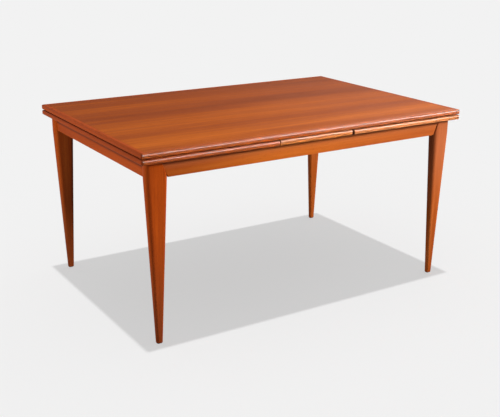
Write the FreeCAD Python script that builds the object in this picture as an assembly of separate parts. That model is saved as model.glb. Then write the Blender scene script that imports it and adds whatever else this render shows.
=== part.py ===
"""Draw leaf dining table: a loose main top on a fixed centre board, two leaves stored under it.

Millimetres, +Z up, X along the table, Y across it with the front at -Y.
The origin is the middle of the footprint, on the floor.
Each leaf slides out on two tapered runners and climbs by the thickness of the main top.
"""

import FreeCAD
import Part
import math
import os

# Overall sizes
TABLE_LENGTH = 1460.0
TABLE_WIDTH = 966.0
TABLE_HEIGHT = 730.0

# Main top and leaves
TOP_THICKNESS = 21.0
TOP_EDGE_RADIUS = 8.0
LEAF_THICKNESS = 20.0
LEAF_EDGE_RADIUS = 7.5
LEAF_INNER_EDGE_RADIUS = 2.5
CORNER_RADIUS = 6.0
LEAF_LENGTH = 558.0
LEAF_END_INSET = 0.5
LEAF_TOP_GAP = 2.0
LIPPING_WIDTH = 18.0
DRAWN_LEAF_GAP = 3.0

# Centre board
BOARD_GAP_LEFT = 1.5
BOARD_GAP_RIGHT = 8.5
BOARD_SEAT_GAP = 0.3

# Legs: rounded sections about an upright axis, widest at the knee under the aprons
LEG_FROM_END = 70.4
LEG_FROM_SIDE = 47.0
KNEE_SIZE_X = 85.0
KNEE_SIZE_Y = 40.0
KNEE_CORNER_RADIUS = 16.5
FOOT_SIZE_X = 24.0
FOOT_SIZE_Y = 20.0
FOOT_CORNER_RADIUS = 8.0
FOOT_EDGE_RADIUS = 5.5
SHOULDER_RUN = 24.0
SHOULDER_BOW = 0.9
SHOULDER_STEPS = 4
JOINT_CORNER_RADIUS = 3.0
JOINT_CORNER_RISE = 20.0

# Aprons
APRON_THICKNESS = 20.0
APRON_HEIGHT = 59.5
LONG_APRON_SETBACK = 4.0
END_APRON_SETBACK = 11.0
APRON_END_RADIUS = 2.0
APRON_EDGE_RADIUS = 1.6
LEAF_SLIDE_GAP = 0.5
TENON_THICKNESS = 12.0
TENON_LENGTH = 22.0
TENON_SHOULDER = 10.0
MORTISE_END_GAP = 1.0
GLUE_GAP = 0.1

# Runners and the rails that guide them
RUNNER_WIDTH = 30.0
RUNNER_TAIL_DEPTH = 30.0
RUNNER_TAIL_GAP = 0.8
RUNNER_END_RECESS = 4.0
RUNNER_EDGE_RADIUS = 2.0
LEFT_RUNNER_FROM_SIDE = 253.0
RIGHT_RUNNER_FROM_SIDE = 211.0
CHANNEL_SIDE_GAP = 0.5
CHANNEL_FLOOR_GAP = 0.3
RAIL_THICKNESS = 20.0
RAIL_FROM_LEAF = 14.5
RAIL_LIFT = 2.0
RAIL_HOUSING_DEPTH = 6.0
PEG_RADIUS = 4.0
PEG_REACH = 9.0
PEG_STOP_GAP = 1.0
PEG_END_WOOD = 5.0

# Guide dowels of the main top, and its felt strips
DOWEL_RADIUS = 8.0
DOWEL_LENGTH = 77.0
DOWEL_SOCKET_DEPTH = 12.0
DOWEL_Y = 150.0
DOWEL_HOLE_GAP = 1.2
FELT_WIDTH = 14.0
FELT_THICKNESS = 1.2
FELT_END_INSET = 10.0
FELT_SIDE_INSET = 43.0
FELT_GLUE_GAP = 0.05

# Corner blocks and fasteners
BLOCK_THICKNESS = 22.0
BLOCK_HEIGHT = 40.0
BLOCK_LEG_GAP = 0.3
BOLT_RADIUS = 4.0
BOLT_IN_LEG = 21.0
BOLT_TAIL = 3.0
NUT_ACROSS_FLATS = 13.0
NUT_HEIGHT = 6.5
WASHER_RADIUS = 9.0
WASHER_THICKNESS = 1.6
HOLE_GAP = 0.15
SCREW_RADIUS = 2.0
SCREW_HEAD_RADIUS = 4.0
SCREW_HEAD_HEIGHT = 2.4
LEAF_SCREW_LENGTH = 22.0
LEAF_SCREW_BITE = 13.0
LEAF_SCREWS_PER_RUNNER = 3
LEAF_SCREW_END_DISTANCE = 45.0
BOARD_SCREW_LENGTH = 38.0
BOARD_SCREW_BITE = 14.0
BOARD_SCREW_FROM_SIDE = 133.0
BLOCK_SCREW_LENGTH = 27.0
BLOCK_SCREW_BITE = 14.0

# Heights that follow
TOP_UNDERSIDE = TABLE_HEIGHT - TOP_THICKNESS
LEAF_TOP = TOP_UNDERSIDE - LEAF_TOP_GAP
LEAF_UNDERSIDE = LEAF_TOP - LEAF_THICKNESS
APRON_TOP = LEAF_UNDERSIDE - LEAF_SLIDE_GAP
KNEE_HEIGHT = APRON_TOP - APRON_HEIGHT
BOARD_UNDERSIDE = APRON_TOP + GLUE_GAP
BOARD_TOP = TOP_UNDERSIDE - BOARD_SEAT_GAP
RAIL_UNDERSIDE = KNEE_HEIGHT + RAIL_LIFT

# Places along and across the table that follow
HALF_LENGTH = TABLE_LENGTH / 2
HALF_WIDTH = TABLE_WIDTH / 2
LEAF_OUTER_X = HALF_LENGTH - LEAF_END_INSET
LEAF_INNER_X = LEAF_OUTER_X - LEAF_LENGTH
BOARD_LEFT_X = -LEAF_INNER_X + BOARD_GAP_LEFT
BOARD_RIGHT_X = LEAF_INNER_X - BOARD_GAP_RIGHT
LEG_FROM_MIDDLE_X = HALF_LENGTH - LEG_FROM_END
LEG_FROM_MIDDLE_Y = HALF_WIDTH - LEG_FROM_SIDE
LONG_APRON_Y = LEG_FROM_MIDDLE_Y + KNEE_SIZE_Y / 2 - LONG_APRON_SETBACK
LONG_APRON_INNER_Y = LONG_APRON_Y - APRON_THICKNESS
END_APRON_X = LEG_FROM_MIDDLE_X + KNEE_SIZE_X / 2 - END_APRON_SETBACK
END_APRON_INNER_X = END_APRON_X - APRON_THICKNESS
RAIL_OUTER_FACE_X = LEAF_INNER_X - RAIL_FROM_LEAF
RAIL_INNER_FACE_X = RAIL_OUTER_FACE_X - RAIL_THICKNESS
LEFT_RUNNER_Y = HALF_WIDTH - LEFT_RUNNER_FROM_SIDE
RIGHT_RUNNER_Y = HALF_WIDTH - RIGHT_RUNNER_FROM_SIDE
BOARD_SCREW_Y = HALF_WIDTH - BOARD_SCREW_FROM_SIDE

# Path of a leaf: it climbs until its upper face is level with the main top
LEAF_CLIMB = TOP_THICKNESS + LEAF_TOP_GAP
LEAF_DRAW = HALF_LENGTH + DRAWN_LEAF_GAP - LEAF_INNER_X
SLOPE = LEAF_CLIMB / LEAF_DRAW

# Runner tail, long enough for its peg to meet the near rail when the leaf is out
PEG_X = LEAF_DRAW - RAIL_INNER_FACE_X + PEG_RADIUS + PEG_STOP_GAP
TAIL_END_X = PEG_X + PEG_RADIUS + PEG_END_WOOD
RUNNER_OUTER_X = END_APRON_X - RUNNER_END_RECESS

X_AXIS = FreeCAD.Vector(1, 0, 0)
Y_AXIS = FreeCAD.Vector(0, 1, 0)
Z_AXIS = FreeCAD.Vector(0, 0, 1)
ORIGIN = FreeCAD.Vector(0, 0, 0)
TOLERANCE = 0.001


def box(x_range, y_range, z_range):
    """A box between two limits on each axis."""
    size = [high - low for low, high in (x_range, y_range, z_range)]
    corner = FreeCAD.Vector(x_range[0], y_range[0], z_range[0])
    return Part.makeBox(size[0], size[1], size[2], corner)


def outline(corners, place):
    """A closed wire through corners (u, v, radius), each rounded; place turns (u, v) into a point."""
    points = [FreeCAD.Vector(u, v, 0) for u, v, _ in corners]
    starts = []
    middles = []
    ends = []
    for index, (_, _, radius) in enumerate(corners):
        here = points[index]
        before = (points[index - 1] - here).normalize()
        after = (points[(index + 1) % len(points)] - here).normalize()
        half_angle = before.getAngle(after) / 2
        setback = radius / math.tan(half_angle)
        bisector = (before + after).normalize()
        starts.append(here + before * setback)
        middles.append(here + bisector * (radius / math.sin(half_angle) - radius))
        ends.append(here + after * setback)
    edges = []
    for index, (_, _, radius) in enumerate(corners):
        if radius > 0:
            arc_points = [place(p.x, p.y) for p in (starts[index], middles[index], ends[index])]
            edges.append(Part.Arc(*arc_points).toShape())
        following = starts[(index + 1) % len(corners)]
        if (following - ends[index]).Length > TOLERANCE:
            run = Part.LineSegment(place(ends[index].x, ends[index].y), place(following.x, following.y))
            edges.append(run.toShape())
    return Part.Wire(edges)


def prism(corners, place, sweep):
    """An outline swept along a vector."""
    return Part.Face(outline(corners, place)).extrude(sweep)


def rectangle(u_range, v_range, radius_low, radius_high):
    """Corners of a rectangle with one radius at its low u side and one at its high u side."""
    return [
        (u_range[0], v_range[0], radius_low),
        (u_range[1], v_range[0], radius_high),
        (u_range[1], v_range[1], radius_high),
        (u_range[0], v_range[1], radius_low),
    ]


def round_edged_slab(x_range, z_range, side_radius, low_end_radius, high_end_radius, corner_radius):
    """A slab the full width of the table, its round side and end profiles mitred at the corners."""
    y_range = (-HALF_WIDTH, HALF_WIDTH)
    along = prism(
        rectangle(x_range, z_range, low_end_radius, high_end_radius),
        lambda x, z: FreeCAD.Vector(x, -HALF_WIDTH, z),
        Y_AXIS * TABLE_WIDTH,
    )
    across = prism(
        rectangle(y_range, z_range, side_radius, side_radius),
        lambda y, z: FreeCAD.Vector(x_range[0], y, z),
        X_AXIS * (x_range[1] - x_range[0]),
    )
    slab = along.common(across)
    if corner_radius > 0:
        plan = prism(
            rectangle(x_range, y_range, corner_radius, corner_radius),
            lambda x, y: FreeCAD.Vector(x, y, z_range[0]),
            Z_AXIS * (z_range[1] - z_range[0]),
        )
        slab = slab.common(plan)
    return slab


def split_slab(slab, x_range, z_range):
    """Cuts a slab into its panel and its mitred lippings."""
    outer = [
        (x_range[0], -HALF_WIDTH),
        (x_range[1], -HALF_WIDTH),
        (x_range[1], HALF_WIDTH),
        (x_range[0], HALF_WIDTH),
    ]
    inner_y = HALF_WIDTH - LIPPING_WIDTH
    inner = [
        (x_range[0] + LIPPING_WIDTH, -inner_y),
        (x_range[1] - LIPPING_WIDTH, -inner_y),
        (x_range[1] - LIPPING_WIDTH, inner_y),
        (x_range[0] + LIPPING_WIDTH, inner_y),
    ]

    def cut_out(corners):
        flat = [(x, y, 0) for x, y in corners]
        block = prism(flat, lambda x, y: FreeCAD.Vector(x, y, z_range[0]), Z_AXIS * (z_range[1] - z_range[0]))
        return slab.common(block)

    pieces = {"panel": cut_out(inner)}
    for side, name in enumerate(("front", "high_end", "back", "low_end")):
        following = (side + 1) % 4
        pieces[name] = cut_out([outer[side], outer[following], inner[following], inner[side]])
    return pieces


def turned(shape, origin, direction):
    """A copy of a shape made along +Z, moved so that it starts at origin and points along direction."""
    copy = shape.copy()
    copy.Placement = FreeCAD.Placement(origin, FreeCAD.Rotation(Z_AXIS, direction))
    return copy


def mirrored(shape, flip_x, flip_y):
    """A shape mirrored across the table's middle planes."""
    if flip_x:
        shape = shape.mirror(ORIGIN, X_AXIS)
    if flip_y:
        shape = shape.mirror(ORIGIN, Y_AXIS)
    return shape


def screw(length):
    """A countersunk wood screw along +Z, its flat head at the start."""
    profile = [
        (0, 0, 0),
        (SCREW_HEAD_RADIUS, 0, 0),
        (SCREW_RADIUS, SCREW_HEAD_HEIGHT, 0),
        (SCREW_RADIUS, length - 2 * SCREW_RADIUS, 0),
        (0, length, 0),
    ]
    face = Part.Face(outline(profile, lambda u, v: FreeCAD.Vector(u, 0, v)))
    return face.revolve(ORIGIN, Z_AXIS, 360)


def screw_hole(length, counterbore):
    """The hole of a screw, with a counterbore behind its head."""
    shank = Part.makeCylinder(SCREW_RADIUS + HOLE_GAP, length + HOLE_GAP)
    head = Part.makeCone(
        SCREW_HEAD_RADIUS + HOLE_GAP, SCREW_RADIUS + HOLE_GAP, SCREW_HEAD_HEIGHT
    )
    recess = Part.makeCylinder(SCREW_HEAD_RADIUS + HOLE_GAP, counterbore)
    recess.translate(Z_AXIS * -counterbore)
    return shank.fuse([head, recess])


def knee_share(height):
    """How far the leg has grown from its foot to its knee at a height, 0 to 1."""
    return min(height / KNEE_HEIGHT, 1.0)


def leg_section(height):
    """Limits of the leg's section at a height, as (low x, high x, low y, high y) of the back right leg."""
    share = knee_share(height)
    half_x = (FOOT_SIZE_X + (KNEE_SIZE_X - FOOT_SIZE_X) * share) / 2
    half_y = (FOOT_SIZE_Y + (KNEE_SIZE_Y - FOOT_SIZE_Y) * share) / 2
    low_x = LEG_FROM_MIDDLE_X - half_x
    if height > KNEE_HEIGHT:
        rise = (height - KNEE_HEIGHT) / APRON_HEIGHT
        knee_x = LEG_FROM_MIDDLE_X - KNEE_SIZE_X / 2
        low_x = knee_x + SHOULDER_RUN * rise + 4 * SHOULDER_BOW * rise * (1 - rise)
    high_x = LEG_FROM_MIDDLE_X + half_x
    return low_x, high_x, LEG_FROM_MIDDLE_Y - half_y, LEG_FROM_MIDDLE_Y + half_y


def corner_radii(height):
    """Radius of the section's corners at a height, and of the one that meets the long apron."""
    radius = FOOT_CORNER_RADIUS + (KNEE_CORNER_RADIUS - FOOT_CORNER_RADIUS) * knee_share(height)
    change = min(max(height - KNEE_HEIGHT, 0) / JOINT_CORNER_RISE, 1.0)
    return radius, radius + (JOINT_CORNER_RADIUS - radius) * change


def leg_heights():
    """Heights of the leg's sections: the foot, the knee and the steps up its slanted shoulder."""
    steps = [KNEE_HEIGHT + APRON_HEIGHT * step / SHOULDER_STEPS for step in range(SHOULDER_STEPS + 1)]
    return [0.0] + steps


def leg_envelope(growth, rounded):
    """The leg's outer shape, grown by a clearance on every side, with rounded or square corners."""
    sections = []
    for height in leg_heights():
        low_x, high_x, low_y, high_y = leg_section(height)
        radius, joint_radius = corner_radii(height) if rounded else (0, 0)
        corners = [
            (low_x - growth, low_y - growth, radius),
            (high_x + growth, low_y - growth, radius),
            (high_x + growth, high_y + growth, radius),
            (low_x - growth, high_y + growth, joint_radius),
        ]
        sections.append(outline(corners, lambda x, y, z=height: FreeCAD.Vector(x, y, z)))
    return Part.makeLoft(sections, True, True)


def tenon_heights(growth):
    """Lower and upper limit of a tenon, or of its mortise when grown."""
    return KNEE_HEIGHT + TENON_SHOULDER - growth, APRON_TOP - TENON_SHOULDER + growth


def long_tenon(start_x, growth, end_gap):
    """Tenon of a long apron in the back right leg, from start_x on."""
    middle = LONG_APRON_Y - APRON_THICKNESS / 2
    half = TENON_THICKNESS / 2 + growth
    end_x = leg_section(APRON_TOP)[0] + TENON_LENGTH + end_gap
    return box((start_x, end_x), (middle - half, middle + half), tenon_heights(growth))


def end_tenon(start_y, growth, end_gap):
    """Tenon of an end apron in the back right leg, from start_y on."""
    middle = END_APRON_X - APRON_THICKNESS / 2
    half = TENON_THICKNESS / 2 + growth
    end_y = leg_section(APRON_TOP)[2] + TENON_LENGTH + end_gap
    return box((middle - half, middle + half), (start_y, end_y), tenon_heights(growth))


def bolt_line():
    """Where the corner bolt enters the leg's inner corner, and the direction it points in."""
    height = (KNEE_HEIGHT + APRON_TOP) / 2
    low_x, _, low_y, _ = leg_section(height)
    return FreeCAD.Vector(low_x, low_y, height), FreeCAD.Vector(1, 1, 0).normalize()


def make_leg():
    """The back right leg."""
    leg = leg_envelope(0, True)
    foot_edges = [edge for edge in leg.Edges if edge.BoundBox.ZMax < FOOT_EDGE_RADIUS / 4]
    leg = leg.makeFillet(FOOT_EDGE_RADIUS, foot_edges)
    inner_x, _, inner_y, _ = leg_section(KNEE_HEIGHT)
    corner, inward = bolt_line()
    bore = Part.makeCylinder(BOLT_RADIUS + HOLE_GAP, BOLT_IN_LEG + BLOCK_THICKNESS)
    start = corner - inward * (BLOCK_THICKNESS - HOLE_GAP)
    return leg.cut(
        [
            long_tenon(inner_x - 1, GLUE_GAP, MORTISE_END_GAP),
            end_tenon(inner_y - 2, GLUE_GAP, MORTISE_END_GAP),
            turned(bore, start, inward),
        ]
    )


def block_face_sum():
    """x + y on the leg side of a corner block, just clear of the leg's rounded inner corner."""
    low_x, _, low_y, _ = leg_section(KNEE_HEIGHT + (APRON_HEIGHT - BLOCK_HEIGHT) / 2)
    rounding = KNEE_CORNER_RADIUS * (2 - math.sqrt(2))
    return low_x + low_y + rounding - BLOCK_LEG_GAP * math.sqrt(2)


def block_screw_lines():
    """Heads and directions of the two screws that hold a corner block to the aprons."""
    middle_sum = block_face_sum() - BLOCK_THICKNESS * math.sqrt(2) / 2
    height = (KNEE_HEIGHT + APRON_TOP) / 2
    reach = BLOCK_SCREW_LENGTH - BLOCK_SCREW_BITE
    along_y = FreeCAD.Vector(middle_sum - LONG_APRON_INNER_Y, LONG_APRON_INNER_Y - reach, height)
    along_x = FreeCAD.Vector(END_APRON_INNER_X - reach, middle_sum - END_APRON_INNER_X, height)
    return [(along_y, Y_AXIS), (along_x, X_AXIS)]


def make_corner_block():
    """The back right corner block, a board across the corner between the two aprons."""
    near_sum = block_face_sum()
    far_sum = near_sum - BLOCK_THICKNESS * math.sqrt(2)
    face_y = LONG_APRON_INNER_Y - GLUE_GAP
    face_x = END_APRON_INNER_X - GLUE_GAP
    low_z = KNEE_HEIGHT + (APRON_HEIGHT - BLOCK_HEIGHT) / 2
    corners = [
        (near_sum - face_y, face_y, 0),
        (far_sum - face_y, face_y, 0),
        (face_x, far_sum - face_x, 0),
        (face_x, near_sum - face_x, 0),
    ]
    block = prism(corners, lambda x, y: FreeCAD.Vector(x, y, low_z), Z_AXIS * BLOCK_HEIGHT)
    corner, inward = bolt_line()
    bore = Part.makeCylinder(BOLT_RADIUS + HOLE_GAP, 4 * BLOCK_THICKNESS)
    holes = [turned(bore, corner - inward * 3 * BLOCK_THICKNESS, inward)]
    for head, direction in block_screw_lines():
        holes.append(turned(screw_hole(BLOCK_SCREW_LENGTH, BLOCK_THICKNESS), head, direction))
    return block.cut(holes)


def make_corner_bolt():
    """Hanger bolt, washer and nut of the back right corner."""
    corner, inward = bolt_line()
    far_sum = block_face_sum() - BLOCK_THICKNESS * math.sqrt(2)
    seat = corner - inward * ((corner.x + corner.y - far_sum) / math.sqrt(2))
    tail = seat - inward * (WASHER_THICKNESS + NUT_HEIGHT + BOLT_TAIL)
    length = (corner - tail).Length + BOLT_IN_LEG
    bolt = turned(Part.makeCylinder(BOLT_RADIUS, length), tail, inward)
    bore = turned(Part.makeCylinder(BOLT_RADIUS + HOLE_GAP, length), tail, inward)
    washer = turned(
        Part.makeCylinder(WASHER_RADIUS, WASHER_THICKNESS), seat - inward * WASHER_THICKNESS, inward
    )
    nut_radius = NUT_ACROSS_FLATS / math.sqrt(3)
    corners = []
    for side in range(6):
        angle = math.radians(60 * side)
        corners.append((nut_radius * math.cos(angle), nut_radius * math.sin(angle), 0))
    nut_blank = prism(corners, lambda u, v: FreeCAD.Vector(u, v, 0), Z_AXIS * NUT_HEIGHT)
    nut = turned(nut_blank, seat - inward * (WASHER_THICKNESS + NUT_HEIGHT), inward)
    return bolt, washer.cut(bore), nut.cut(bore)


def runner_floor(x):
    """Height of a runner's lower edge at x, counted from the middle towards the leaf's own end."""
    return LEAF_UNDERSIDE - RUNNER_TAIL_GAP - RUNNER_TAIL_DEPTH + (x - LEAF_INNER_X) * SLOPE


def channel(x_range, middle_y, extra_inside):
    """Opening for a runner of the right leaf through an apron or a rail, open at its top."""
    half = RUNNER_WIDTH / 2 + CHANNEL_SIDE_GAP
    low_y = middle_y - half - extra_inside
    corners = [
        (x_range[0], runner_floor(x_range[0]) - CHANNEL_FLOOR_GAP, 0),
        (x_range[1], runner_floor(x_range[1]) - CHANNEL_FLOOR_GAP, 0),
        (x_range[1], APRON_TOP + 1, 0),
        (x_range[0], APRON_TOP + 1, 0),
    ]
    sweep = Y_AXIS * (middle_y + half - low_y)
    return prism(corners, lambda x, z: FreeCAD.Vector(x, low_y, z), sweep)


def soften_apron(apron, reach):
    """Rounds an apron's outer face at both ends, then along its lower edge.

    reach gives how far out an edge lies from its bounds, counted from the outer face.
    """
    on_face = [edge for edge in apron.Edges if reach(edge.BoundBox) > -TOLERANCE]
    ends = [edge for edge in on_face if edge.BoundBox.ZLength > APRON_END_RADIUS]
    apron = apron.makeFillet(APRON_END_RADIUS, ends)
    near_face = [edge for edge in apron.Edges if reach(edge.BoundBox) > -APRON_END_RADIUS - TOLERANCE]
    lower = [edge for edge in near_face if edge.BoundBox.ZMax < KNEE_HEIGHT + TOLERANCE]
    return apron.makeFillet(APRON_EDGE_RADIUS, lower)


def make_long_apron():
    """The back long apron, with tenons into both legs and housings for the two rails."""
    middle_x = LEG_FROM_MIDDLE_X
    apron = box((-middle_x, middle_x), (LONG_APRON_INNER_Y, LONG_APRON_Y), (KNEE_HEIGHT, APRON_TOP))
    envelope = leg_envelope(GLUE_GAP, False)
    apron = apron.cut([envelope, mirrored(envelope, True, False)])
    apron = soften_apron(apron, lambda bounds: bounds.YMin - LONG_APRON_Y)
    tenon = long_tenon(LEG_FROM_MIDDLE_X - KNEE_SIZE_X, 0, 0)
    apron = apron.fuse([tenon, mirrored(tenon, True, False)])
    housing = box(
        (RAIL_INNER_FACE_X - GLUE_GAP, RAIL_OUTER_FACE_X + GLUE_GAP),
        (LONG_APRON_INNER_Y - 1, LONG_APRON_INNER_Y + RAIL_HOUSING_DEPTH + GLUE_GAP),
        (RAIL_UNDERSIDE - GLUE_GAP, APRON_TOP + 1),
    )
    hole = screw_hole(BLOCK_SCREW_LENGTH, 1)
    head, direction = block_screw_lines()[0]
    cuts = [turned(hole, head, direction), housing]
    cuts += [mirrored(cut, True, False) for cut in cuts]
    return apron.cut(cuts)


def make_end_apron(runner_y):
    """The right end apron, with tenons into both legs and notches for the runners of its leaf."""
    middle_y = LEG_FROM_MIDDLE_Y
    apron = box((END_APRON_INNER_X, END_APRON_X), (-middle_y, middle_y), (KNEE_HEIGHT, APRON_TOP))
    envelope = leg_envelope(GLUE_GAP, False)
    apron = apron.cut([envelope, mirrored(envelope, False, True)])
    apron = soften_apron(apron, lambda bounds: bounds.XMin - END_APRON_X)
    tenon = end_tenon(LEG_FROM_MIDDLE_Y - KNEE_SIZE_Y, 0, 0)
    apron = apron.fuse([tenon, mirrored(tenon, False, True)])
    hole = screw_hole(BLOCK_SCREW_LENGTH, 1)
    head, direction = block_screw_lines()[1]
    notch = channel((END_APRON_INNER_X - 1, END_APRON_X + 1), runner_y, 0)
    cuts = [turned(hole, head, direction), notch]
    cuts += [mirrored(cut, False, True) for cut in cuts]
    return apron.cut(cuts)


def board_screw_places():
    """Heads of the screws that go up through the right rail into the centre board."""
    middle = (RAIL_INNER_FACE_X + RAIL_OUTER_FACE_X) / 2
    head_z = BOARD_UNDERSIDE + BOARD_SCREW_BITE - BOARD_SCREW_LENGTH
    return [FreeCAD.Vector(middle, y, head_z) for y in (-BOARD_SCREW_Y, 0, BOARD_SCREW_Y)]


def make_rail(near_runner_y, far_runner_y):
    """The right cross rail: close channels for its own leaf's runners, wide ones for the other leaf's."""
    half_y = LONG_APRON_INNER_Y + RAIL_HOUSING_DEPTH
    faces = (RAIL_INNER_FACE_X, RAIL_OUTER_FACE_X)
    rail = box(faces, (-half_y, half_y), (RAIL_UNDERSIDE, APRON_TOP))
    cutting = (faces[0] - 1, faces[1] + 1)
    own = channel(cutting, near_runner_y, 0)
    other = mirrored(channel((-cutting[1], -cutting[0]), far_runner_y, PEG_REACH + 1), True, False)
    holes = [own, other, mirrored(own, False, True), mirrored(other, False, True)]
    counterbore = board_screw_places()[0].z - RAIL_UNDERSIDE + 1
    for place in board_screw_places():
        holes.append(turned(screw_hole(BOARD_SCREW_LENGTH, counterbore), place, Z_AXIS))
    return rail.cut(holes)


def make_centre_board():
    """The fixed centre board's panel and its front and back lippings."""
    x_range = (BOARD_LEFT_X, BOARD_RIGHT_X)
    z_range = (BOARD_UNDERSIDE, BOARD_TOP)
    slab = round_edged_slab(x_range, z_range, LEAF_EDGE_RADIUS, 0, 0, 0)
    holes = []
    for side in (-1, 1):
        place = FreeCAD.Vector(0, side * DOWEL_Y, BOARD_UNDERSIDE - 1)
        holes.append(Part.makeCylinder(DOWEL_RADIUS + DOWEL_HOLE_GAP, BOARD_TOP - BOARD_UNDERSIDE + 2, place))
    for place in board_screw_places():
        for flip in (False, True):
            holes.append(mirrored(turned(screw_hole(BOARD_SCREW_LENGTH, 1), place, Z_AXIS), flip, False))
    panel_y = HALF_WIDTH - LIPPING_WIDTH
    panel = slab.common(box(x_range, (-panel_y, panel_y), z_range)).cut(holes)
    back = slab.common(box(x_range, (panel_y, HALF_WIDTH), z_range))
    return panel, back


def leaf_screw_places(runner_y):
    """Heads of the screws that hold one runner of the right leaf, evenly spaced."""
    first = LEAF_INNER_X + LEAF_SCREW_END_DISTANCE
    last = RUNNER_OUTER_X - LEAF_SCREW_END_DISTANCE
    pitch = (last - first) / (LEAF_SCREWS_PER_RUNNER - 1)
    head_z = LEAF_UNDERSIDE + LEAF_SCREW_BITE - LEAF_SCREW_LENGTH
    return [
        FreeCAD.Vector(first + pitch * count, runner_y, head_z) for count in range(LEAF_SCREWS_PER_RUNNER)
    ]


def make_peg(runner_y):
    """Stop peg across the tail of the right leaf's back runner, standing out on its inner side."""
    low_y = runner_y - RUNNER_WIDTH / 2 - PEG_REACH
    height = runner_floor(-PEG_X) + RUNNER_TAIL_DEPTH / 2
    return Part.makeCylinder(PEG_RADIUS, RUNNER_WIDTH + PEG_REACH, FreeCAD.Vector(-PEG_X, low_y, height), Y_AXIS)


def make_runner(runner_y):
    """Back runner of the right leaf: level under the leaf, with its lower edge along the leaf's path."""
    tail_top = LEAF_UNDERSIDE - RUNNER_TAIL_GAP
    corners = [
        (RUNNER_OUTER_X, LEAF_UNDERSIDE, 0),
        (LEAF_INNER_X, LEAF_UNDERSIDE, 0),
        (LEAF_INNER_X, tail_top, 0),
        (-TAIL_END_X, runner_floor(-TAIL_END_X) + RUNNER_TAIL_DEPTH, 0),
        (-TAIL_END_X, runner_floor(-TAIL_END_X), 0),
        (RUNNER_OUTER_X, runner_floor(RUNNER_OUTER_X), 0),
    ]
    low_y = runner_y - RUNNER_WIDTH / 2
    runner = prism(corners, lambda x, z: FreeCAD.Vector(x, low_y, z), Y_AXIS * RUNNER_WIDTH)
    lower = [edge for edge in runner.Edges if edge.BoundBox.XLength > TAIL_END_X + LEAF_INNER_X]
    runner = runner.makeFillet(RUNNER_EDGE_RADIUS, lower)
    holes = [make_peg(runner_y)]
    for place in leaf_screw_places(runner_y):
        holes.append(turned(screw_hole(LEAF_SCREW_LENGTH, RUNNER_TAIL_DEPTH), place, Z_AXIS))
    return runner.cut(holes)


def make_leaf(runner_y):
    """The right leaf's pieces: panel, lippings, runners, screws and stop pegs."""
    x_range = (LEAF_INNER_X, LEAF_OUTER_X)
    z_range = (LEAF_UNDERSIDE, LEAF_TOP)
    slab = round_edged_slab(
        x_range, z_range, LEAF_EDGE_RADIUS, LEAF_INNER_EDGE_RADIUS, LEAF_EDGE_RADIUS, CORNER_RADIUS
    )
    pieces = split_slab(slab, x_range, z_range)
    back_runner = make_runner(runner_y)
    back_peg = make_peg(runner_y)
    screws = [turned(screw(LEAF_SCREW_LENGTH), place, Z_AXIS) for place in leaf_screw_places(runner_y)]
    screws += [mirrored(item, False, True) for item in screws]
    holes = [
        turned(screw_hole(LEAF_SCREW_LENGTH, 1), place, Z_AXIS)
        for place in leaf_screw_places(runner_y)
    ]
    holes += [mirrored(hole, False, True) for hole in holes]
    return {
        "panel": pieces["panel"].cut(holes),
        "outer_lipping": pieces["high_end"],
        "inner_lipping": pieces["low_end"],
        "front_lipping": pieces["front"],
        "back_lipping": pieces["back"],
        "front_runner": mirrored(back_runner, False, True),
        "back_runner": back_runner,
        "runner_screws": Part.makeCompound(screws),
        "stop_pegs": Part.makeCompound([back_peg, mirrored(back_peg, False, True)]),
    }


def make_main_top():
    """The loose main top: panel, mitred lippings and guide dowels."""
    x_range = (-HALF_LENGTH, HALF_LENGTH)
    z_range = (TOP_UNDERSIDE, TABLE_HEIGHT)
    slab = round_edged_slab(
        x_range, z_range, TOP_EDGE_RADIUS, TOP_EDGE_RADIUS, TOP_EDGE_RADIUS, CORNER_RADIUS
    )
    pieces = split_slab(slab, x_range, z_range)
    dowels = []
    for side in (-1, 1):
        foot = FreeCAD.Vector(0, side * DOWEL_Y, TOP_UNDERSIDE + DOWEL_SOCKET_DEPTH - DOWEL_LENGTH)
        dowels.append(Part.makeCylinder(DOWEL_RADIUS, DOWEL_LENGTH, foot))
    return {
        "main_top_panel": pieces["panel"].cut(dowels),
        "main_top_front_lipping": pieces["front"],
        "main_top_back_lipping": pieces["back"],
        "main_top_left_lipping": pieces["low_end"],
        "main_top_right_lipping": pieces["high_end"],
        "guide_dowels": Part.makeCompound(dowels),
    }


def make_felt_strip():
    """Felt strip under the right end of the main top."""
    outer_x = HALF_LENGTH - FELT_END_INSET
    half_y = HALF_WIDTH - FELT_SIDE_INSET
    high_z = TOP_UNDERSIDE - FELT_GLUE_GAP
    return box((outer_x - FELT_WIDTH, outer_x), (-half_y, half_y), (high_z - FELT_THICKNESS, high_z))


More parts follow.
